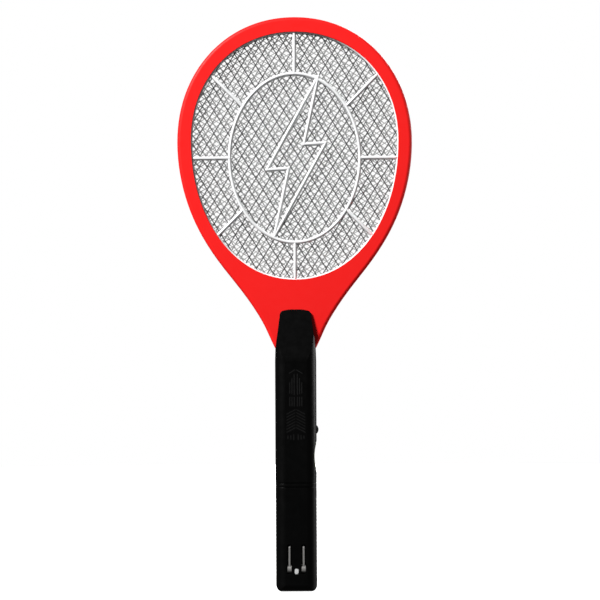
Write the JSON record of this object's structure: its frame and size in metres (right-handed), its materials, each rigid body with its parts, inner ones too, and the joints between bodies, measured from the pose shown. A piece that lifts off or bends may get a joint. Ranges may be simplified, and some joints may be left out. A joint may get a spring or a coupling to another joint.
{
  "type": "electric fly swatter",
  "caption": "Racket-shaped electric fly swatter: red oval head with layered wire grids and ribs, black handle with side trigger, slide switch and fold-out mains plug.",
  "frame": {"origin": "Middle of the grip, level with the trigger, on the plane where the two halves of the handle meet.", "axes": "+X to the trigger side, +Y out of the back, +Z along the racket towards the head."},
  "size_m": [0.2118, 0.0321, 0.5176],
  "materials": {
    "red_plastic": "glossy red ABS with a fine moulded skin",
    "clear_rib_plastic": "translucent white polystyrene",
    "grid_wire": "expanded aluminium sheet",
    "spacer_plastic": "natural insulating plastic",
    "black_plastic": "black ABS with a fine texture",
    "black_knob": "black moulded knob",
    "green_button": "yellow-green moulded button",
    "plated_brass": "nickel-plated brass",
    "steel": "zinc-plated steel",
    "hub_plastic": "black thermosetting plastic",
    "clear_plastic": "clear moulded light pipe",
    "board_laminate": "phenolic paper laminate",
    "ferrite": "grey ferrite",
    "bobbin_plastic": "black bobbin moulding",
    "copper_winding": "enamelled copper under yellow tape",
    "film_capacitor": "dipped film capacitor",
    "component_black": "black epoxy component body",
    "resistor_body": "resistor lacquer",
    "led_lens": "diffused red lamp",
    "battery_case": "sealed battery case",
    "foam": "soft closed-cell foam",
    "red_insulation": "red wire insulation",
    "black_insulation": "black wire insulation",
    "switch_plastic": "switch case"
  },
  "bodies": {
    "racket": {"front_head_frame": "red_plastic", "rear_head_frame": "red_plastic", "head_screws": "steel", "front_outer_grid": "grid_wire", "rear_outer_grid": "grid_wire", "inner_grid": "grid_wire", "front_spacer_ring": "spacer_plastic", "rear_spacer_ring": "spacer_plastic", "front_rib_guard": "clear_rib_plastic", "rear_rib_guard": "clear_rib_plastic", "grid_terminals": "plated_brass", "front_handle_shell": "black_plastic", "rear_handle_shell": "black_plastic", "handle_screws": "steel", "trigger_switch_body": "switch_plastic", "slide_switch_body": "switch_plastic", "plug_pin": "steel", "plug_contacts": "plated_brass", "circuit_board": "board_laminate", "board_screws": "steel", "transformer_core": "ferrite", "transformer_bobbin": "bobbin_plastic", "transformer_winding": "copper_winding", "hv_capacitor": "film_capacitor", "multiplier_capacitors": "film_capacitor", "hv_diodes": "component_black", "resistors": "resistor_body", "transistor": "component_black", "charger_board": "board_laminate", "dropper_capacitor": "film_capacitor", "rectifier_diodes": "component_black", "charge_led": "led_lens", "charge_light_pipe": "clear_plastic", "battery": "battery_case", "battery_terminals": "plated_brass", "battery_foam_pad": "foam", "red_wires": "red_insulation", "black_wires": "black_insulation"},
    "trigger": {"trigger_button": "green_button"},
    "switch_plunger": {"trigger_switch_plunger": "switch_plastic"},
    "power_knob": {"slide_switch_knob": "black_knob", "slide_switch_lever": "switch_plastic"},
    "plug": {"plug_hub": "hub_plastic", "plug_blade_left": "plated_brass", "plug_blade_right": "plated_brass"}
  },
  "joints": [
    {"name": "trigger_press", "type": "slide", "parent": "racket", "child": "trigger", "axis": [-1, 0, 0], "range_m": [0, 0.0015], "stiffness_N_per_m": 900, "springref_m": -0.001},
    {"name": "plunger_press", "type": "slide", "parent": "racket", "child": "switch_plunger", "axis": [-1, 0, 0], "range_m": [0, 0.0015]},
    {"name": "power_slide", "type": "slide", "parent": "racket", "child": "power_knob", "axis": [0, 0, 1], "range_m": [0, 0.0035]},
    {"name": "plug_flip", "type": "hinge", "parent": "racket", "child": "plug", "pos_m": [0, -0.0122, -0.1006], "axis": [1, 0, 0], "range_deg": [0, 90]}
  ],
  "couplings": [
    {"joint": "plunger_press", "follows": "trigger_press", "ratio": 1}
  ]
}
